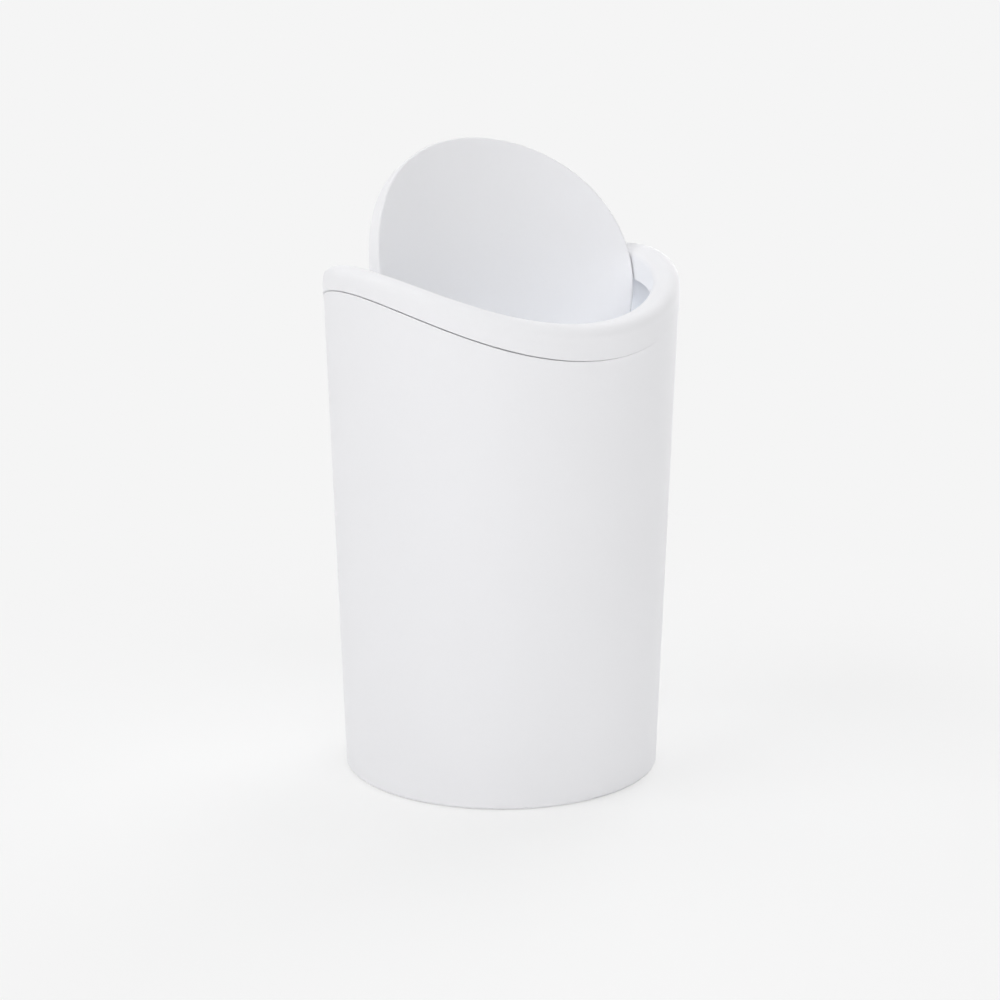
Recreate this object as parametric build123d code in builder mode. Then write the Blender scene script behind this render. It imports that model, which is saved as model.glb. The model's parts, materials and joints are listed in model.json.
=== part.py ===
from build123d import *
import os
from math import cos, radians, sin, sqrt

# Countertop bin with a swing lid.
# Frame: origin at the centre of the rest plane, +Z up, the lid's pivot axis along X, front at -Y.
# The rim follows one arc, seen from the front: high at the two pivots, low at front and back.
# The lid is drawn tipped open, its back edge up and its front edge down inside the bucket.

# ---- bucket, millimetres ----
base_radius = 65.5          # outside of the wall at the rest plane
wall_draft = 0.033          # radius gained for each millimetre of height
body_wall = 2.0
floor_thickness = 2.4
foot_recess = 1.5           # depth of the hollow under the floor
foot_ring_width = 4.0
foot_edge_round = 1.2
floor_corner_round = 4.0
lip_round = 0.3

# ---- rim arc and collar ----
rim_arc_radius = 124.0      # radius of the arc that the rim, the seam and the lid all follow
rim_low = 194.6             # height of the rim's top at front and back
collar_depth = 13.2         # top of the rim down to the seam
collar_wall = 2.2
collar_overhang = 0.15      # collar's outside past the bucket's at the seam's high sides
rim_round = 4.6             # rounding of the rim's outer corner
rim_width = 11.1            # collar's outside to the opening
opening_round = 2.5
inner_wall = 1.8
inner_wall_depth = 10.0     # top of the rim down to the inner wall's lower edge
seam_gap = 0.32             # open line between bucket and collar
seam_round = 0.25
shoulder_thickness = 2.0    # web that stands over the bucket's lip
spigot_wall = 1.8
spigot_depth = 9.0          # seam down to the spigot's lower edge
spigot_clearance = 0.2
spigot_round = 0.5

# ---- lid ----
open_angle = 72.3           # drawn opening, measured from shut
pivot_depth = 6.15          # pivot axis below the rim's top at the opening's sides
swing_clearance = 0.4       # gap between the lid's round side and the opening
lid_stand = 2.0             # lid face above the rim's inner edge when shut
lid_thickness = 7.5
lid_skin = 2.0
lid_side_wall = 2.0
lid_edge_round = 0.9
lid_ledge = 1.2             # step inside the side wall that carries the underside
lid_inner_round = 1.0
underside_thickness = 1.6
underside_clearance = 0.15
underside_edge_round = 0.4

# ---- posts that hold the underside on ----
post_radius = 1.6
post_clearance = 0.05
post_spacing = 52.0         # centre distance of the posts, both ways
post_end_gap = 0.3
socket_wall = 1.6
socket_length = 3.4         # how far a socket hangs under the lid's skin
socket_floor = 0.8

# ---- pivots ----
pin_radius = 2.0
pin_running_clearance = 0.05
pin_seat_fit = 0.02
pin_engagement = 2.4        # length of pin past the opening's wall
pin_seat_length = 5.2       # length of pin inside the lid
pin_seat_floor = 1.0
pin_end_play = 0.4
pin_boss_wall = 1.4
pin_end_chamfer = 0.3
bush_wall = 1.4
bush_flange_width = 1.2
bush_flange_thickness = 0.8
bush_cap = 0.8
bush_fit = 0.03
bush_boss_wall = 1.6

# ---- pads under the floor ----
pad_radius = 7.0
pad_standout = 0.4          # how far the pads reach below the foot ring
pad_pocket = 0.6
pad_fit = 0.1
pad_count = 4
pad_edge_round = 0.3
pad_inset = 3.0             # gap between a pad and the foot ring


def arc_rise(across):
    """Height that the rim arc gains at a distance across from the centre."""
    return rim_arc_radius - sqrt(rim_arc_radius**2 - across**2)


def wall_radius(height):
    """Outside radius of the bucket at a height."""
    return base_radius + wall_draft * height


# ---- worked out from the sizes above ----
arc_reach = base_radius + 15.0
arc_reach_rise = arc_rise(arc_reach)
drum_top = rim_low + arc_reach_rise
collar_low = rim_low - collar_depth
collar_radius = wall_radius(collar_low + arc_rise(wall_radius(collar_low))) + collar_overhang
opening_radius = collar_radius - rim_width
pivot_height = rim_low + arc_rise(opening_radius) - pivot_depth
lip_low = collar_low - seam_gap
spigot_low = collar_low - spigot_depth
spigot_inset = body_wall + spigot_clearance
spigot_bore_inset = spigot_inset + spigot_wall
hollow_low = collar_low + shoulder_thickness
hollow_high = rim_low - collar_wall
inner_wall_radius = opening_radius + inner_wall
inner_wall_low = rim_low - inner_wall_depth
floor_underside = pad_standout + foot_recess
floor_top = floor_underside + floor_thickness
recess_radius = wall_radius(pad_standout) - foot_ring_width
pad_circle = recess_radius - pad_inset - pad_radius
pad_top = floor_underside + pad_pocket

# Lid heights are measured from the pivot axis, at the lid's lowest line.
lid_radius = opening_radius - swing_clearance
lid_face_low = rim_low + lid_stand - pivot_height
lid_skin_low = lid_face_low - lid_skin
lid_bottom_low = lid_face_low - lid_thickness
underside_low = lid_bottom_low + underside_thickness
lid_recess_radius = lid_radius - lid_side_wall
lid_cavity_radius = lid_recess_radius - lid_ledge
underside_radius = lid_recess_radius - underside_clearance
post_offset = post_spacing / 2
post_skin = lid_skin_low + arc_rise(post_offset)
post_foot = underside_low - underside_thickness / 2 + arc_rise(post_offset)
socket_low = post_skin - socket_length
socket_radius = post_radius + post_clearance + socket_wall
socket_bore_top = post_skin - socket_floor
post_top = socket_bore_top - post_end_gap

pin_start = lid_radius - pin_seat_length
pin_end = opening_radius + pin_engagement
pin_boss_start = pin_start - pin_seat_floor
pin_boss_radius = pin_radius + pin_boss_wall
notch_width = 2 * (pin_boss_radius + underside_clearance)
bush_bore = pin_radius + pin_running_clearance
bush_bore_end = pin_end + pin_end_play
bush_radius = bush_bore + bush_wall
bush_end = bush_bore_end + bush_cap
bush_flange_radius = bush_radius + bush_flange_width
bush_flange_seat = opening_radius + bush_flange_thickness
bush_boss_radius = bush_radius + bush_fit + bush_boss_wall

lid_frame = Plane.XY.offset(pivot_height).rotated((open_angle, 0, 0))
lid_section = Plane(lid_frame.origin, x_dir=lid_frame.x_dir, z_dir=-lid_frame.y_dir)
lid_across = Plane(lid_frame.origin, x_dir=lid_frame.y_dir, z_dir=lid_frame.x_dir)
sides = {"left": -1, "right": 1}


def pivot_plane(side, out):
    """Plane square to the pivot axis at a distance out from the centre, facing outwards."""
    return Plane((side * out, 0, pivot_height), x_dir=(0, side, 0), z_dir=(side, 0, 0))


def arc_band(lower, upper, plane=Plane.XZ):
    """Face on an upright plane between two copies of the rim arc, each given by its lowest height."""
    with BuildSketch(plane) as band:
        with BuildLine():
            left = (-arc_reach, lower + arc_reach_rise)
            right = (arc_reach, lower + arc_reach_rise)
            low = ThreePointArc(left, (0, lower), right)
            left = (-arc_reach, upper + arc_reach_rise)
            right = (arc_reach, upper + arc_reach_rise)
            high = ThreePointArc(left, (0, upper), right)
            Line(low @ 0, high @ 0)
            Line(low @ 1, high @ 1)
        make_face()
    return band.sketch


def tapered_drum(inset, lower, upper):
    """Drum with the bucket's taper, set in from its outside, with both ends cut to the rim arc."""
    with BuildPart() as drum:
        with BuildSketch(Plane.XZ):
            with BuildLine():
                Polyline(
                    (0, 0),
                    (wall_radius(0) - inset, 0),
                    (wall_radius(drum_top) - inset, drum_top),
                    (0, drum_top),
                    close=True,
                )
            make_face()
        revolve(axis=Axis.Z)
        extrude(arc_band(lower, upper), amount=arc_reach, both=True, mode=Mode.INTERSECT)
    return drum.part


def straight_drum(radius, lower, upper):
    """Drum of one radius, with both ends cut to the rim arc."""
    with BuildPart() as drum:
        with BuildSketch():
            Circle(radius)
        extrude(amount=drum_top)
        extrude(arc_band(lower, upper), amount=arc_reach, both=True, mode=Mode.INTERSECT)
    return drum.part


def lid_slice(lower, upper, radius):
    """Slice between two rim arcs of a ball centred on the pivot axis, tipped with the lid."""
    with BuildPart() as ball_slice:
        extrude(arc_band(lower, upper, lid_section), amount=arc_reach, both=True)
        with Locations(lid_frame):
            Sphere(radius, mode=Mode.INTERSECT)
    return ball_slice.part


def arc_edges(part, low, frame=Plane.XY):
    """Edges that follow the rim arc of a given lowest height in a frame, shortest first."""
    found = ShapeList()
    for edge in part.edges():
        points = [frame.to_local_coords(edge @ share) for share in (0.0, 0.31, 0.77)]
        if all(abs(point.Z - low - arc_rise(point.X)) < 0.01 for point in points):
            found.append(edge)
    return found.sort_by(SortBy.LENGTH)


# ---- bucket: tapered wall, raised floor, lip cut along the seam ----
with BuildPart() as bin_body:
    with BuildSketch(Plane.XZ):
        with BuildLine():
            Polyline(
                (0, floor_underside),
                (recess_radius, floor_underside),
                (recess_radius, pad_standout),
                (wall_radius(pad_standout), pad_standout),
                (wall_radius(drum_top), drum_top),
                (wall_radius(drum_top) - body_wall, drum_top),
                (wall_radius(floor_top) - body_wall, floor_top),
                (0, floor_top),
                close=True,
            )
        make_face()
    revolve(axis=Axis.Z)
    circles = bin_body.edges().filter_by(GeomType.CIRCLE)
    foot_edge = circles.group_by(Axis.Z)[0].sort_by(SortBy.RADIUS)[-1]
    floor_edge = circles.filter_by_position(Axis.Z, floor_top - 0.1, floor_top + 0.1)
    fillet(foot_edge, foot_edge_round)
    fillet(floor_edge, floor_corner_round)
    extrude(arc_band(lip_low, drum_top), amount=arc_reach, both=True, mode=Mode.SUBTRACT)
    fillet(arc_edges(bin_body.part, lip_low), lip_round)
    with BuildSketch(Plane.XY.offset(floor_underside)):
        with PolarLocations(pad_circle, pad_count, start_angle=180 / pad_count):
            Circle(pad_radius + pad_fit)
    extrude(amount=pad_pocket, mode=Mode.SUBTRACT)
bin_body.part.label = "bin_body"

# ---- collar: the space inside it, less the opening's wall and the two bush bosses ----
collar_space = straight_drum(collar_radius - collar_wall, hollow_low, hollow_high)
collar_throat = tapered_drum(spigot_bore_inset, spigot_low - 1, hollow_high)
with BuildPart() as collar_hollow:
    add(collar_space)
    fillet(arc_edges(collar_hollow.part, hollow_high)[-1], rim_round - collar_wall)
    add(collar_throat)
    with BuildSketch():
        Circle(inner_wall_radius)
    opening_core = extrude(amount=drum_top, mode=Mode.PRIVATE)
    wall_band = extrude(arc_band(inner_wall_low, drum_top), amount=arc_reach, both=True, mode=Mode.PRIVATE)
    add(opening_core & wall_band, mode=Mode.SUBTRACT)
    for side in sides.values():
        with BuildSketch(pivot_plane(side, opening_radius)):
            Circle(bush_boss_radius)
        extrude(amount=bush_end - opening_radius, mode=Mode.SUBTRACT)

# ---- collar: rounded rim, opening, shoulder over the lip, spigot into the bucket ----
collar_outside = straight_drum(collar_radius, collar_low, rim_low)
spigot_outside = tapered_drum(spigot_inset, spigot_low, hollow_low)
with BuildPart() as rim_collar:
    add(collar_outside)
    fillet(arc_edges(rim_collar.part, rim_low)[-1], rim_round)
    fillet(arc_edges(rim_collar.part, collar_low)[-1], seam_round)
    add(spigot_outside)
    fillet(arc_edges(rim_collar.part, spigot_low)[-1], spigot_round)
    add(collar_hollow.part, mode=Mode.SUBTRACT)
    with BuildSketch():
        Circle(opening_radius)
    extrude(amount=drum_top, mode=Mode.SUBTRACT)
    fillet(arc_edges(rim_collar.part, rim_low)[0], opening_round)
    for side in sides.values():
        with BuildSketch(pivot_plane(side, lid_radius)):
            Circle(bush_radius + bush_fit)
        extrude(amount=bush_end - lid_radius, mode=Mode.SUBTRACT)
        with BuildSketch(pivot_plane(side, lid_radius)):
            Circle(bush_flange_radius + bush_fit)
        extrude(amount=bush_flange_seat - lid_radius, mode=Mode.SUBTRACT)
rim_collar.part.label = "rim_collar"

# ---- lid: the blocks that hold the pins, inside the round side ----
boss_reach = lid_radius - lid_side_wall / 2
boss_stock = lid_slice(lid_bottom_low - lid_thickness, lid_skin_low + lid_skin / 2, boss_reach)
with BuildPart() as pin_bosses:
    add(boss_stock)
    with BuildSketch(lid_across):
        Circle(pin_boss_radius)
        Rectangle(2 * pin_boss_radius, lid_radius, align=(Align.CENTER, Align.MIN))
    extrude(amount=lid_radius, both=True, mode=Mode.INTERSECT)
    with BuildSketch(lid_across):
        Rectangle(2 * lid_radius, 2 * lid_radius)
    extrude(amount=pin_boss_start, both=True, mode=Mode.SUBTRACT)

# ---- lid: the space under its skin, less the pin blocks and the post sockets ----
lid_space = lid_slice(lid_bottom_low - lid_thickness, lid_skin_low, lid_cavity_radius)
lid_recess = lid_slice(lid_bottom_low - lid_thickness, underside_low, lid_recess_radius)
with BuildPart() as lid_hollow:
    add(lid_space)
    fillet(arc_edges(lid_hollow.part, lid_skin_low, lid_frame), lid_inner_round)
    add(lid_recess)
    with BuildSketch(lid_frame.offset(socket_low)):
        with GridLocations(post_spacing, post_spacing, 2, 2):
            Circle(socket_radius)
    extrude(amount=socket_length + lid_skin, mode=Mode.SUBTRACT)
    add(pin_bosses.part, mode=Mode.SUBTRACT)

lid_outside = lid_slice(lid_bottom_low, lid_face_low, lid_radius)
with BuildPart() as lid_shell:
    add(lid_outside)
    fillet(arc_edges(lid_shell.part, lid_face_low, lid_frame), lid_edge_round)
    fillet(arc_edges(lid_shell.part, lid_bottom_low, lid_frame), lid_edge_round)
    add(pin_bosses.part)
    add(lid_hollow.part, mode=Mode.SUBTRACT)
    with BuildSketch(lid_frame.offset(socket_low)):
        with GridLocations(post_spacing, post_spacing, 2, 2):
            Circle(post_radius + post_clearance)
    extrude(amount=socket_bore_top - socket_low, mode=Mode.SUBTRACT)
    for side in sides.values():
        with BuildSketch(pivot_plane(side, pin_start)):
            Circle(pin_radius + pin_seat_fit)
        extrude(amount=pin_end - pin_start, mode=Mode.SUBTRACT)
lid_shell.part.label = "lid_shell"

# ---- underside: thin cover on the ledge, notched round the pin blocks, with four posts ----
cover_slice = lid_slice(lid_bottom_low, underside_low, underside_radius)
with BuildPart() as lid_underside:
    add(cover_slice)
    fillet(arc_edges(lid_underside.part, lid_bottom_low, lid_frame), underside_edge_round)
    with BuildSketch(lid_frame):
        Rectangle(2 * lid_radius, notch_width)
        Rectangle(2 * (pin_boss_start - underside_clearance), notch_width, mode=Mode.SUBTRACT)
    extrude(amount=lid_radius, both=True, mode=Mode.SUBTRACT)
    with BuildSketch(lid_frame.offset(post_foot)):
        with GridLocations(post_spacing, post_spacing, 2, 2):
            Circle(post_radius)
    extrude(amount=post_top - post_foot)
lid_underside.part.label = "lid_underside"

# ---- pivots: a steel pin pressed into each end of the lid, a flanged blind bush in the collar ----
pivot_parts = []
for name, side in sides.items():
    with BuildPart() as pivot_pin:
        with BuildSketch(pivot_plane(side, pin_start)):
            Circle(pin_radius)
        extrude(amount=pin_end - pin_start)
        chamfer(pivot_pin.edges().filter_by(GeomType.CIRCLE), pin_end_chamfer)
    pivot_pin.part.label = f"pivot_pin_{name}"
    pivot_parts.append(pivot_pin.part)

    with BuildPart() as pivot_bush:
        with BuildSketch(pivot_plane(side, opening_radius)):
            Circle(bush_flange_radius)
        extrude(amount=bush_flange_thickness)
        with BuildSketch(pivot_plane(side, opening_radius)):
            Circle(bush_radius)
        extrude(amount=bush_end - opening_radius)
        with BuildSketch(pivot_plane(side, opening_radius)):
            Circle(bush_bore)
        extrude(amount=bush_bore_end - opening_radius, mode=Mode.SUBTRACT)
    pivot_bush.part.label = f"pivot_bush_{name}"
    pivot_parts.append(pivot_bush.part)

# ---- pads: round discs in shallow pockets under the floor ----
pads = []
for number in range(pad_count):
    turn = radians(360 * (number + 0.5) / pad_count)
    with BuildPart() as foot_pad:
        with BuildSketch():
            with Locations((pad_circle * cos(turn), pad_circle * sin(turn))):
                Circle(pad_radius)
        extrude(amount=pad_top)
        fillet(foot_pad.edges().group_by(Axis.Z)[0], pad_edge_round)
    foot_pad.part.label = f"foot_pad_{number + 1}"
    pads.append(foot_pad.part)

# ---- one file for each piece ----
os.makedirs("parts", exist_ok=True)
for piece in [bin_body.part, rim_collar.part, lid_shell.part, lid_underside.part, *pivot_parts, *pads]:
    export_step(piece, f"parts/{piece.label}.step")
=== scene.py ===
"""Countertop bin with a swing lid: finishes, stage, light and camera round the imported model."""

import json
import math

import bmesh
import bpy
from bpy.props import FloatProperty, FloatVectorProperty, PointerProperty
from mathutils import Matrix, Vector


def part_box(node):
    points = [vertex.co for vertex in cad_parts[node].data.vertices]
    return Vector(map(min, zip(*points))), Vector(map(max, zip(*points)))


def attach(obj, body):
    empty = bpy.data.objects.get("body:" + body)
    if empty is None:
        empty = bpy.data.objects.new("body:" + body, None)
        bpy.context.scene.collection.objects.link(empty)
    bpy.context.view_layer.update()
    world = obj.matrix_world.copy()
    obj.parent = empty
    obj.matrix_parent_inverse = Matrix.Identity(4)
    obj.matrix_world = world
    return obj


bl_info = {
    "name": "Swing-lid countertop bin",
    "version": (1, 0, 0),
    "blender": (4, 5, 0),
    "location": "View3D > Sidebar > Bin",
    "description": "Finishes and stage for a small moulded bin with a swing lid",
    "category": "Object",
}

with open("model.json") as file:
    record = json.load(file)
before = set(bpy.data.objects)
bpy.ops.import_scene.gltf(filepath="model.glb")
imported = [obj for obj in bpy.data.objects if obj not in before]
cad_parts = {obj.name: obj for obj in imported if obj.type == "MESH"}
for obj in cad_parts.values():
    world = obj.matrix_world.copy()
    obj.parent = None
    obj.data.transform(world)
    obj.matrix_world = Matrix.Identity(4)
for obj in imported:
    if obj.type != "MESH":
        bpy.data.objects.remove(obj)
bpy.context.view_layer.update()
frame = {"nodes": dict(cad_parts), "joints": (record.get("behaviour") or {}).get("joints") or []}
MM = 0.001
WHITE = (1.0, 1.0, 1.0, 1.0)
DUST = (0.42, 0.4, 0.37, 1.0)
PLASTIC_IOR = 1.49
ACETAL_IOR = 1.48
STREAK_LENGTH = 60.0
LAMP_RISE = 15.0
HIGH_LAMP_RISE = 40.0
SENSOR_WIDTH = 36.0

# the middle of the hinge's range is the lid shut, and its zero is the lid as stored, tipped open
HINGE = next(joint for joint in frame["joints"] if joint["type"] == "hinge")
PIVOT = Vector(HINGE["pos_m"])
OPEN_ANGLE = math.radians(-sum(HINGE["range_deg"]) / 2)
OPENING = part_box("pivot_bush_right")[0][0]


# ---- sizes and colours that a user would change ----


class BinColours(bpy.types.PropertyGroup):
    """Colours of the bin's materials."""

    plastic: FloatVectorProperty(
        name="Plastic", description="White polypropylene of bucket, collar and lid",
        subtype="COLOR", size=3, min=0.0, max=1.0, default=(0.882, 0.882, 0.9),
    )
    acetal: FloatVectorProperty(
        name="Acetal", description="Natural acetal of the pivot bushes",
        subtype="COLOR", size=3, min=0.0, max=1.0, default=(0.78, 0.775, 0.75),
    )
    steel: FloatVectorProperty(
        name="Steel", description="Ground stainless steel of the pivot pins",
        subtype="COLOR", size=3, min=0.0, max=1.0, default=(0.62, 0.62, 0.63),
    )
    rubber: FloatVectorProperty(
        name="Rubber", description="Pale rubber of the foot pads",
        subtype="COLOR", size=3, min=0.0, max=1.0, default=(0.52, 0.52, 0.53),
    )


class BinSizes(bpy.types.PropertyGroup):
    """Sizes of the solid pieces that the finishes follow, and of the small marks of moulding."""

    foot_radius: FloatProperty(
        name="Foot radius", description="Outside of the bucket at its foot",
        unit="LENGTH", default=0.0655,
    )
    wall_draft: FloatProperty(
        name="Wall draft", description="Radius that the bucket gains for each metre of height",
        default=0.033,
    )
    wall_thickness: FloatProperty(
        name="Wall thickness", description="Thickness of the bucket's wall",
        unit="LENGTH", default=0.002,
    )
    floor_height: FloatProperty(
        name="Floor height", description="Height of the bucket's floor inside",
        unit="LENGTH", default=0.0043,
    )
    floor_underside: FloatProperty(
        name="Floor underside", description="Height of the hollow's roof under the bucket's floor",
        unit="LENGTH", default=0.0019,
    )
    ejector_radius: FloatProperty(
        name="Ejector radius", description="Radius of an ejector pin's mark",
        unit="LENGTH", default=0.0035,
    )
    ejector_spacing: FloatProperty(
        name="Ejector spacing", description="Distance between neighbouring ejector marks on the floor",
        unit="LENGTH", default=0.056,
    )
    post_spacing: FloatProperty(
        name="Post spacing", description="Distance between neighbouring posts behind the lid's underside",
        unit="LENGTH", default=0.052,
    )
    gate_radius: FloatProperty(
        name="Gate radius", description="Radius of the stub where plastic entered the mould",
        unit="LENGTH", default=0.0016,
    )
    gate_height: FloatProperty(
        name="Gate height", description="Height of the stub where plastic entered the mould",
        unit="LENGTH", default=0.0005,
    )


class BinSurface(bpy.types.PropertyGroup):
    """Fineness of the moulded surface."""

    satin: FloatProperty(
        name="Satin", description="Roughness of the moulded outside",
        subtype="FACTOR", min=0.0, max=1.0, default=0.6,
    )
    grain_size: FloatProperty(
        name="Grain size", description="Width of one grain of the spark-eroded texture",
        unit="LENGTH", min=0.0001, max=0.005, default=0.0005,
    )
    grain_depth: FloatProperty(
        name="Grain depth", description="Height of the texture's grain",
        unit="LENGTH", min=0.0, max=0.001, default=0.00001,
    )
    gloss: FloatProperty(
        name="Gloss", description="Strength of the plastic's mirror-like share, 0.5 for a polished one",
        subtype="FACTOR", min=0.0, max=1.0, default=0.15,
    )
    wave_depth: FloatProperty(
        name="Wave depth", description="Height of the slow waviness from shrinkage",
        unit="LENGTH", min=0.0, max=0.001, default=0.00004,
    )
    mark_depth: FloatProperty(
        name="Mark depth", description="Depth of ejector and sink marks",
        unit="LENGTH", min=0.0, max=0.001, default=0.00008,
    )
    scuff: FloatProperty(
        name="Scuff", description="Strength of the rubbed ring at the foot and of dust on the pads",
        subtype="FACTOR", min=0.0, max=1.0, default=0.35,
    )


class BinStage(bpy.types.PropertyGroup):
    """Camera, light and floor."""

    camera_turn: FloatProperty(
        name="Camera turn", description="Camera's angle round the bin, from the front",
        subtype="ANGLE", default=math.radians(-32.9),
    )
    camera_rise: FloatProperty(
        name="Camera rise", description="Camera's angle above level",
        subtype="ANGLE", default=math.radians(13.26),
    )
    camera_distance: FloatProperty(
        name="Camera distance", description="Camera to the bin's axis",
        unit="LENGTH", default=0.9895,
    )
    aim_height: FloatProperty(
        name="Aim height", description="Height on the bin's axis that the camera looks at",
        unit="LENGTH", default=0.1120,
    )
    aim_side: FloatProperty(
        name="Aim side", description="How far left of the axis the camera looks",
        unit="LENGTH", default=0.00056,
    )
    lens: FloatProperty(
        name="Lens", description="Focal length on a 36 mm sensor, in millimetres",
        default=85.9,
    )
    backdrop: FloatVectorProperty(
        name="Backdrop", description="Pale grey of floor and background",
        subtype="COLOR", size=3, min=0.0, max=1.0, default=(0.913, 0.913, 0.913),
    )
    floor_paint: FloatVectorProperty(
        name="Floor paint", description="Colour of the floor where the lamps light it",
        subtype="COLOR", size=3, min=0.0, max=1.0, default=(0.98, 0.98, 0.98),
    )
    floor_radius: FloatProperty(
        name="Floor radius", description="Radius of the round floor",
        unit="LENGTH", default=6.0,
    )
    floor_glow: FloatProperty(
        name="Floor glow", description="Share of the floor's own paleness beside the bin, where shadows show",
        subtype="FACTOR", min=0.0, max=1.0, default=0.6,
    )
    fade_start: FloatProperty(
        name="Fade start", description="Distance from the bin's axis where the floor starts to fade",
        unit="LENGTH", default=0.12,
    )
    fade_end: FloatProperty(
        name="Fade end", description="Distance from the bin's axis where the floor is all background",
        unit="LENGTH", default=0.45,
    )
    ambient: FloatProperty(
        name="Ambient", description="Strength of the even light from all round",
        default=0.04,
    )
    lamp_distance: FloatProperty(
        name="Lamp distance", description="Distance of each lamp from the bin's middle",
        unit="LENGTH", default=1.3,
    )
    lamp_width: FloatProperty(
        name="Lamp width", description="Width of each square lamp",
        unit="LENGTH", default=0.9,
    )
    front_power: FloatProperty(
        name="Front power", description="Power of the lamp over the camera",
        unit="POWER", default=4.1,
    )
    left_power: FloatProperty(
        name="Left power", description="Power of the lamp at the camera's left",
        unit="POWER", default=6.8,
    )
    far_left_power: FloatProperty(
        name="Far left power", description="Power of the lamp beyond the left one",
        unit="POWER", default=3.4,
    )
    top_power: FloatProperty(
        name="Top power", description="Power of the high lamp behind the bin",
        unit="POWER", default=6.2,
    )
    back_power: FloatProperty(
        name="Back power", description="Power of the lamp behind the bin's right",
        unit="POWER", default=7.5,
    )
    far_right_power: FloatProperty(
        name="Far right power", description="Power of the lamp beyond the right one",
        unit="POWER", default=2.6,
    )
    right_power: FloatProperty(
        name="Right power", description="Power of the lamp at the camera's right",
        unit="POWER", default=4.1,
    )
    inner_power: FloatProperty(
        name="Inner power",
        description="Power of the small lamp in the bucket, for the light that milky walls let in",
        unit="POWER", default=0.054,
    )
    inner_tint: FloatVectorProperty(
        name="Inner tint", description="Colour of the small lamp in the bucket",
        subtype="COLOR", size=3, min=0.0, max=1.0, default=(0.88, 0.94, 1.0),
    )
    inner_height: FloatProperty(
        name="Inner height", description="Height of the small lamp in the bucket",
        unit="LENGTH", default=0.13,
    )
    inner_width: FloatProperty(
        name="Inner width", description="Diameter of the small lamp in the bucket",
        unit="LENGTH", default=0.07,
    )


# ---- shader maths ----


class Term:
    """A value that a shader node gives, so that masks are written as plain arithmetic."""

    def __init__(self, finish, socket):
        self.finish = finish
        self.socket = socket

    def __add__(self, other):
        return self.finish.math("ADD", self, other)

    def __radd__(self, other):
        return self.finish.math("ADD", other, self)

    def __sub__(self, other):
        return self.finish.math("SUBTRACT", self, other)

    def __rsub__(self, other):
        return self.finish.math("SUBTRACT", other, self)

    def __mul__(self, other):
        return self.finish.math("MULTIPLY", self, other)

    def __rmul__(self, other):
        return self.finish.math("MULTIPLY", other, self)

    def __abs__(self):
        return self.finish.math("ABSOLUTE", self)


class Nodes:
    """A node tree that is emptied, then built node by node."""

    def __init__(self, tree):
        self.tree = tree
        self.tree.nodes.clear()

    def node(self, kind, settings=None, values=None, out=0):
        """Adds a node, sets its settings, fills or links its sockets, and gives one output."""
        added = self.tree.nodes.new(kind)
        for name, value in (settings or {}).items():
            setattr(added, name, value)
        for name, value in (values or {}).items():
            if isinstance(value, Term):
                self.tree.links.new(value.socket, added.inputs[name])
            else:
                added.inputs[name].default_value = value
        if out is not None:
            return Term(self, added.outputs[out])

    def math(self, operation, first, second=0.0):
        return self.node("ShaderNodeMath", {"operation": operation}, {0: first, 1: second})

    def seen_directly(self):
        """1 for what the camera sees itself, in a mirror or through glass."""
        camera, mirror, glass = (
            self.node("ShaderNodeLightPath", out=out)
            for out in ("Is Camera Ray", "Is Glossy Ray", "Is Transmission Ray")
        )
        return self.math("MAXIMUM", self.math("MAXIMUM", camera, mirror), glass)


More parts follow.
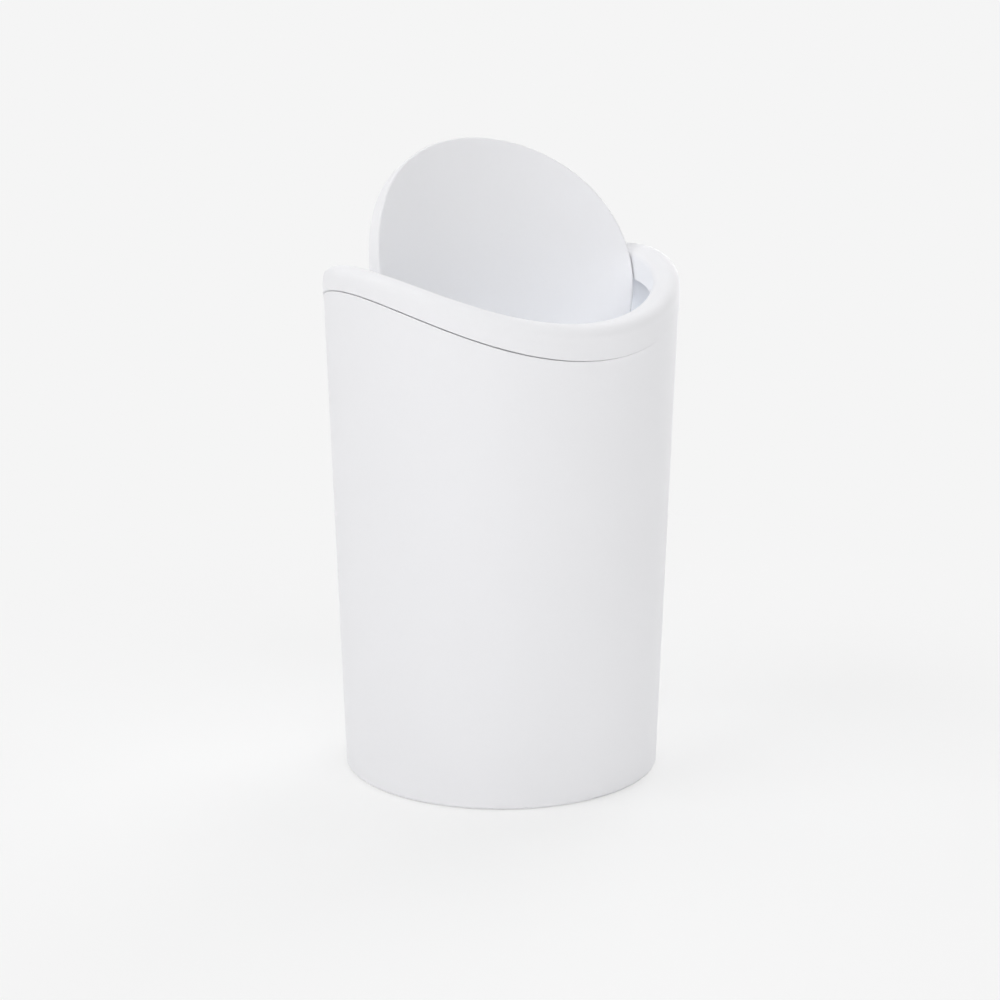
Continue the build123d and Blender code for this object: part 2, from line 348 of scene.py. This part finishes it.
class Finish(Nodes):
    """A procedural material, patterned in the object's own coordinates."""

    def __init__(self, name):
        self.material = bpy.data.materials.new(name)
        self.material.use_nodes = True
        super().__init__(self.material.node_tree)
        self.place = self.node("ShaderNodeTexCoord", out="Object")

    def noise(self, size, detail=2.0, place=None):
        """Cloudy pattern from 0 to 1 whose patches are about size metres across."""
        values = {"Vector": place or self.place, "Scale": 1.0 / size, "Detail": detail}
        return self.node("ShaderNodeTexNoise", {}, values, "Fac")

    def lines(self, distance, size):
        """Bands from 0 to 1, about size metres apart along a distance."""
        values = {"W": distance, "Scale": 1.0 / size, "Detail": 2.0}
        return self.node("ShaderNodeTexNoise", {"noise_dimensions": "1D"}, values, "Fac")

    def ramp(self, value, low, high):
        """0 at low and 1 at high, smooth between them and level beyond them."""
        settings = {"interpolation_type": "SMOOTHSTEP"}
        values = {"Value": value, "From Min": low, "From Max": high}
        return self.node("ShaderNodeMapRange", settings, values)

    def colour(self, factor, first, second):
        """Colour that goes from first to second with factor."""
        settings = {"data_type": "RGBA"}
        values = {0: factor, 6: first, 7: second}
        return self.node("ShaderNodeMix", settings, values, 2)

    def placed(self, centre=(0.0, 0.0, 0.0), turn=0.0, stretch=(1.0, 1.0, 1.0)):
        """Coordinates of a pattern that sits at a centre, turned about X and stretched."""
        values = {"Vector": self.place, "Location": centre, "Rotation": (turn, 0.0, 0.0), "Scale": stretch}
        return self.node("ShaderNodeMapping", {"vector_type": "TEXTURE"}, values)

    def parts(self, place=None):
        """X, Y and Z of a place."""
        split = self.tree.nodes.new("ShaderNodeSeparateXYZ")
        self.tree.links.new((place or self.place).socket, split.inputs[0])
        return [Term(self, output) for output in split.outputs]

    def across(self, first, second):
        """Distance from the point where two coordinates are zero."""
        return self.math("SQRT", first * first + second * second)

    def four_discs(self, place, spacing, radius):
        """1 on four round marks in a square, 0 beside them."""
        x, y, _ = self.parts(place)
        distance = self.across(abs(x) - spacing / 2, abs(y) - spacing / 2)
        full_within = 0.86 * radius
        return self.ramp(distance, radius, full_within)

    def bump(self, height, depth, below=None):
        """Normal with a height pattern of a depth in metres, on top of another one."""
        values = {"Height": height, "Strength": 1.0, "Distance": depth}
        if below is not None:
            values["Normal"] = below
        return self.node("ShaderNodeBump", {}, values)

    def close(self, tint, rough, normal, level):
        """Ends the material with its shader; level fills the sockets that are the same all over."""
        values = {"Base Color": tint, "Roughness": rough, "Normal": normal, **level}
        return self.show(self.node("ShaderNodeBsdfPrincipled", {}, values))

    def show(self, shader):
        """Ends the material with a shader."""
        self.node("ShaderNodeOutputMaterial", {}, {"Surface": shader}, None)
        return self.material


def rgba(colour, gain=1.0):
    """A colour property as four numbers, made lighter or darker by gain."""
    return (colour[0] * gain, colour[1] * gain, colour[2] * gain, 1.0)


def moulded_plastic(finish, colour, surface, dents=None, scuffs=0.0, polish=0.0):
    """Satin polypropylene: fine even grain, faint clouding, a slow waviness from shrinkage."""
    cloud = finish.noise(60 * MM, 2.0)
    speck = finish.noise(surface.grain_size * 1.7, 1.0)
    clean = finish.colour(0.6 * cloud + 0.4 * speck, rgba(colour, 0.985), rgba(colour, 1.015))
    tint = finish.colour(scuffs, clean, rgba(colour, 0.55))
    normal = finish.bump(finish.noise(35 * MM, 1.0), surface.wave_depth)
    if dents is not None:
        normal = finish.bump(1.0 - dents, surface.mark_depth, normal)
    normal = finish.bump(finish.noise(surface.grain_size, 3.0), surface.grain_depth, normal)
    rough = surface.satin - 0.03 + 0.06 * finish.noise(9 * MM, 3.0) + 0.25 * scuffs - 0.12 * polish
    return finish.close(tint, rough, normal, {"IOR": PLASTIC_IOR, "Specular IOR Level": surface.gloss})


def drag_lines(finish, inside):
    """Faint upright lines that a mould's core leaves on an inner wall."""
    streaks = finish.noise(1.1 * MM, 2.0, finish.placed(stretch=(1.0, 1.0, STREAK_LENGTH)))
    return 0.25 * inside * streaks


def bucket_plastic(colour, sizes, surface):
    """Bucket: drag lines and ejector marks inside, a rubbed ring at the foot."""
    finish = Finish("bucket_plastic")
    x, y, z = finish.parts()
    middle = sizes.foot_radius - sizes.wall_thickness / 2 + z * sizes.wall_draft
    inside = finish.ramp(middle - finish.across(x, y), 0.0, 0.3 * MM)
    over_floor = finish.ramp(z, sizes.floor_underside, sizes.floor_height - 0.5 * MM)
    marks = finish.four_discs(finish.place, sizes.ejector_spacing, sizes.ejector_radius)
    walls = finish.ramp(z, sizes.floor_height + 4 * MM, sizes.floor_height + 9 * MM)
    dents = inside * over_floor * marks + drag_lines(finish, inside * walls)
    foot = finish.ramp(z, 0.75 * MM, 0.45 * MM) * (1.0 - inside)
    rubbed = foot * finish.ramp(finish.noise(4 * MM, 4.0), 0.35, 0.65)
    return moulded_plastic(finish, colour, surface, dents, surface.scuff * rubbed)


def collar_plastic(colour, surface):
    """Collar: drag lines on its inner walls, a rim a little polished by hands."""
    finish = Finish("collar_plastic")
    x, y, z = finish.parts()
    mouth = finish.ramp(finish.across(x, y), OPENING + 0.4 * MM, OPENING + 0.1 * MM)
    worn = finish.ramp(finish.noise(22 * MM, 3.0), 0.4, 0.7)
    return moulded_plastic(finish, colour, surface, drag_lines(finish, mouth), polish=worn * (1.0 - mouth))


def lid_plastic(colour, sizes, surface):
    """Lid: sink marks over the posts on its underside, its face a little polished where hands push."""
    finish = Finish("lid_plastic")
    tipped = finish.placed(PIVOT, OPEN_ANGLE)
    x, y, z = finish.parts(tipped)
    below = finish.ramp(z, -8.0 * MM, -10.0 * MM)
    sinks = finish.four_discs(tipped, sizes.post_spacing, sizes.ejector_radius)
    edge = finish.ramp(finish.across(x, y), 30 * MM, 56 * MM)
    worn = edge * finish.ramp(finish.noise(16 * MM, 3.0), 0.4, 0.7)
    return moulded_plastic(finish, colour, surface, below * sinks, polish=worn)


def ground_steel(colour):
    """Pin: ground steel, with fine rings round its length."""
    finish = Finish("pin_steel")
    rings = finish.lines(finish.parts()[0], 0.12 * MM)
    tint = finish.colour(finish.noise(1.5 * MM), rgba(colour, 0.93), rgba(colour, 1.05))
    return finish.close(tint, 0.24 + 0.12 * rings, finish.bump(rings, 0.003 * MM), {"Metallic": 1.0})


def turned_acetal(colour):
    """Bush: waxy acetal, with tool rings round the bore."""
    finish = Finish("bush_acetal")
    x, y, z = finish.parts()
    rings = finish.lines(finish.across(y, z - PIVOT.z), 0.2 * MM)
    tint = finish.colour(0.5 * rings + 0.5 * finish.noise(2 * MM), rgba(colour, 0.97), rgba(colour, 1.02))
    return finish.close(tint, 0.3 + 0.08 * rings, finish.bump(rings, 0.006 * MM), {"IOR": ACETAL_IOR})


def pad_rubber(colour, surface):
    """Pad: matt rubber with a fine speckle, and dust on the face that rests."""
    finish = Finish("pad_rubber")
    speck = finish.ramp(finish.noise(0.7 * MM, 2.0), 0.42, 0.62)
    clean = finish.colour(0.7 * speck + 0.3 * finish.noise(5 * MM), rgba(colour, 0.9), rgba(colour, 1.06))
    resting = finish.ramp(finish.parts()[2], 0.35 * MM, 0.05 * MM)
    dust = resting * finish.ramp(finish.noise(2.5 * MM, 4.0), 0.4, 0.7)
    tint = finish.colour(surface.scuff * dust, clean, DUST)
    grain = finish.bump(finish.noise(0.35 * MM, 3.0), 0.02 * MM)
    return finish.close(tint, 0.72 + 0.1 * speck + 0.1 * dust, grain, {})


def put_on(node, material):
    """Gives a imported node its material."""
    mesh = frame["nodes"][node].data
    mesh.materials.clear()
    mesh.materials.append(material)


def add_object(name, mesh):
    """Turns an edited mesh into an object of the scene."""
    data = bpy.data.meshes.new(name)
    mesh.to_mesh(data)
    mesh.free()
    made = bpy.data.objects.new(name, data)
    bpy.context.scene.collection.objects.link(made)
    return made


def gate_stub(name, place, sizes, body):
    """Round stub left where plastic entered the mould, standing out along a place's -Z."""
    mesh = bmesh.new()
    # torn middle, rounded rim, side, and a closed top inside the plastic; in shares of radius and height
    outline = (
        (0.0, -0.62), (0.35, -0.7), (0.62, -0.95), (0.84, -1.0), (0.95, -0.88), (1.0, -0.5),
        (1.0, 0.2), (0.0, 0.2),
    )
    points = [mesh.verts.new((x * sizes.gate_radius, 0.0, z * sizes.gate_height)) for x, z in outline]
    edges = [mesh.edges.new(pair) for pair in zip(points, points[1:])]
    bmesh.ops.spin(
        mesh, geom=points + edges, cent=(0.0, 0.0, 0.0), axis=(0.0, 0.0, 1.0), angle=math.tau, steps=40,
        use_merge=True,
    )
    bmesh.ops.remove_doubles(mesh, verts=mesh.verts, dist=1e-6)
    bmesh.ops.recalc_face_normals(mesh, faces=mesh.faces)
    bmesh.ops.transform(mesh, matrix=place, verts=mesh.verts)
    for face in mesh.faces:
        face.smooth = True
    stub = add_object(name, mesh)
    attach(stub, body)
    return stub


def lowest_inside(node, place):
    """Lowest point of a node in a place's own coordinates."""
    inverse = place.inverted()
    return min((inverse @ vertex.co).z for vertex in frame["nodes"][node].data.vertices)


class BIN_OT_bucket(bpy.types.Operator):
    """Finish the bucket, and add the gate stub under its floor"""

    bl_idname = "bin.bucket"
    bl_label = "Bucket"

    def execute(self, context):
        scene = context.scene
        plastic = bucket_plastic(scene.bin_colours.plastic, scene.bin_sizes, scene.bin_surface)
        put_on("bin_body", plastic)
        place = Matrix.Translation((0.0, 0.0, scene.bin_sizes.floor_underside))
        stub = gate_stub("bucket_gate_stub", place, scene.bin_sizes, "bin")
        stub.data.materials.append(plastic)
        return {"FINISHED"}


class BIN_OT_collar(bpy.types.Operator):
    """Finish the collar"""

    bl_idname = "bin.collar"
    bl_label = "Collar"

    def execute(self, context):
        scene = context.scene
        put_on("rim_collar", collar_plastic(scene.bin_colours.plastic, scene.bin_surface))
        return {"FINISHED"}


class BIN_OT_lid(bpy.types.Operator):
    """Finish the lid's shell and underside, and add the gate stub under the lid"""

    bl_idname = "bin.lid"
    bl_label = "Lid"

    def execute(self, context):
        scene = context.scene
        plastic = lid_plastic(scene.bin_colours.plastic, scene.bin_sizes, scene.bin_surface)
        put_on("lid_shell", plastic)
        put_on("lid_underside", plastic)
        tipped = Matrix.Translation(PIVOT) @ Matrix.Rotation(OPEN_ANGLE, 4, "X")
        under = tipped @ Matrix.Translation((0.0, 0.0, lowest_inside("lid_underside", tipped)))
        stub = gate_stub("lid_gate_stub", under, scene.bin_sizes, "lid")
        stub.data.materials.append(plastic)
        return {"FINISHED"}


class BIN_OT_pivots(bpy.types.Operator):
    """Finish the steel pins and the acetal bushes"""

    bl_idname = "bin.pivots"
    bl_label = "Pivots"

    def execute(self, context):
        colours = context.scene.bin_colours
        steel = ground_steel(colours.steel)
        acetal = turned_acetal(colours.acetal)
        for side in ("left", "right"):
            put_on(f"pivot_pin_{side}", steel)
            put_on(f"pivot_bush_{side}", acetal)
        return {"FINISHED"}


class BIN_OT_pads(bpy.types.Operator):
    """Finish the rubber pads"""

    bl_idname = "bin.pads"
    bl_label = "Pads"

    def execute(self, context):
        scene = context.scene
        rubber = pad_rubber(scene.bin_colours.rubber, scene.bin_surface)
        for node in frame["nodes"]:
            if node.startswith("foot_pad_"):
                put_on(node, rubber)
        return {"FINISHED"}


class BIN_OT_stage(bpy.types.Operator):
    """Set up the floor, the light and the camera"""

    bl_idname = "bin.stage"
    bl_label = "Stage"

    def execute(self, context):
        stage = context.scene.bin_stage
        lay_floor(stage)
        light_world(context.scene, stage)
        hang_lamps(stage)
        place_camera(context.scene, stage)
        context.scene.view_settings.view_transform = "Standard"
        return {"FINISHED"}


def lay_floor(stage):
    """Round floor that fades into the background away from the bin."""
    mesh = bmesh.new()
    bmesh.ops.create_circle(mesh, cap_ends=True, segments=96, radius=stage.floor_radius)
    floor = add_object("floor", mesh)
    finish = Finish("floor_paint")
    distance = finish.node("ShaderNodeVectorMath", {"operation": "LENGTH"}, {0: finish.place}, "Value")
    far = finish.ramp(distance, stage.fade_start, stage.fade_end)
    lit = finish.node("ShaderNodeBsdfDiffuse", {}, {"Color": rgba(stage.floor_paint)})
    plain = finish.node("ShaderNodeEmission", {}, {"Color": rgba(stage.backdrop)})
    share = finish.seen_directly() * (stage.floor_glow + (1.0 - stage.floor_glow) * far)
    mixed = finish.node("ShaderNodeMixShader", {}, {0: share, 1: lit, 2: plain})
    floor.data.materials.append(finish.show(mixed))


def light_world(scene, stage):
    """Even light from all round, and a plain background."""
    world = bpy.data.worlds.new("studio")
    scene.world = world
    world.use_nodes = True
    sky = Nodes(world.node_tree)
    even = sky.node("ShaderNodeBackground", {}, {"Color": WHITE, "Strength": stage.ambient})
    plain = sky.node("ShaderNodeBackground", {}, {"Color": rgba(stage.backdrop)})
    mixed = sky.node("ShaderNodeMixShader", {}, {0: sky.seen_directly(), 1: even, 2: plain})
    sky.node("ShaderNodeOutputWorld", {}, {"Surface": mixed}, None)


def aimed(place, target):
    """Matrix of a lamp or camera at a place that looks at a target."""
    turn = (Vector(target) - Vector(place)).to_track_quat("-Z", "Y")
    return Matrix.Translation(place) @ turn.to_matrix().to_4x4()


def lamp(name, place, target, power, width):
    """Soft lamp that faces a target."""
    data = bpy.data.lights.new(name, "AREA")
    data.energy = power
    data.size = width
    made = bpy.data.objects.new(name, data)
    made.matrix_world = aimed(place, target)
    bpy.context.scene.collection.objects.link(made)
    return made


def around(turn, rise, distance, height):
    """Point at an angle round the bin from the front, an angle above level and a distance."""
    out = distance * math.cos(rise)
    return Vector((out * math.sin(turn), -out * math.cos(turn), height + distance * math.sin(rise)))


def hang_lamps(stage):
    """Large soft lamps round the bin, and a small one that shines up in the bucket."""
    middle = Vector((0.0, 0.0, stage.aim_height))
    # name, degrees round from the camera, degrees above level, power
    rig = (
        ("front_lamp", 0.0, LAMP_RISE, stage.front_power),
        ("left_lamp", -60.0, HIGH_LAMP_RISE, stage.left_power),
        ("far_left_lamp", -120.0, LAMP_RISE, stage.far_left_power),
        ("top_lamp", 180.0, 70.0, stage.top_power),
        ("back_lamp", 150.0, LAMP_RISE, stage.back_power),
        ("far_right_lamp", 90.0, LAMP_RISE, stage.far_right_power),
        ("right_lamp", 30.0, HIGH_LAMP_RISE, stage.right_power),
    )
    for name, turn, rise, power in rig:
        turn = stage.camera_turn + math.radians(turn)
        place = around(turn, math.radians(rise), stage.lamp_distance, stage.aim_height)
        lamp(name, place, middle, power, stage.lamp_width)
    below = Vector((0.0, 0.0, stage.inner_height))
    inner = lamp("inner_lamp", below, (0.0, 0.0, 1.0), stage.inner_power, stage.inner_width)
    inner.data.shape = "DISK"
    inner.data.color = stage.inner_tint
    inner.visible_camera = False
    inner.visible_glossy = False


def place_camera(scene, stage):
    """Camera at the stage's angle and distance, aimed at the bin's axis."""
    side = Vector((math.cos(stage.camera_turn), math.sin(stage.camera_turn), 0.0))
    aim = Vector((0.0, 0.0, stage.aim_height)) - side * stage.aim_side
    place = around(stage.camera_turn, stage.camera_rise, stage.camera_distance, stage.aim_height)
    place -= side * stage.aim_side
    data = bpy.data.cameras.new("camera")
    data.lens = stage.lens
    data.sensor_width = SENSOR_WIDTH
    data.clip_start = 0.01
    data.clip_end = 50.0
    camera = bpy.data.objects.new("camera", data)
    camera.matrix_world = aimed(place, aim)
    scene.collection.objects.link(camera)
    scene.camera = camera


class BIN_PT_sidebar(bpy.types.Panel):
    """Sizes, colours and steps of the bin"""

    bl_label = "Swing-lid bin"
    bl_space_type = "VIEW_3D"
    bl_region_type = "UI"
    bl_category = "Bin"

    def draw(self, context):
        for group in (getattr(context.scene, name) for name in GROUPS):
            box = self.layout.box()
            for name in group.bl_rna.properties.keys():
                if name not in ("rna_type", "name"):
                    box.prop(group, name)
        for step in STEPS:
            self.layout.operator(step.bl_idname)


GROUPS = {
    "bin_colours": BinColours,
    "bin_sizes": BinSizes,
    "bin_surface": BinSurface,
    "bin_stage": BinStage,
}
STEPS = (BIN_OT_stage, BIN_OT_bucket, BIN_OT_collar, BIN_OT_lid, BIN_OT_pivots, BIN_OT_pads)


def register():
    for group in GROUPS.values():
        bpy.utils.register_class(group)
    for step in STEPS:
        bpy.utils.register_class(step)
    bpy.utils.register_class(BIN_PT_sidebar)
    for name, group in GROUPS.items():
        setattr(bpy.types.Scene, name, PointerProperty(type=group))


def unregister():
    for name in GROUPS:
        delattr(bpy.types.Scene, name)
    bpy.utils.unregister_class(BIN_PT_sidebar)
    for step in reversed(STEPS):
        bpy.utils.unregister_class(step)
    for group in GROUPS.values():
        bpy.utils.unregister_class(group)


def main():
    register()
    bpy.ops.bin.stage()
    bpy.ops.bin.bucket()
    bpy.ops.bin.collar()
    bpy.ops.bin.lid()
    bpy.ops.bin.pivots()
    bpy.ops.bin.pads()


if __name__ == "__main__":
    main()
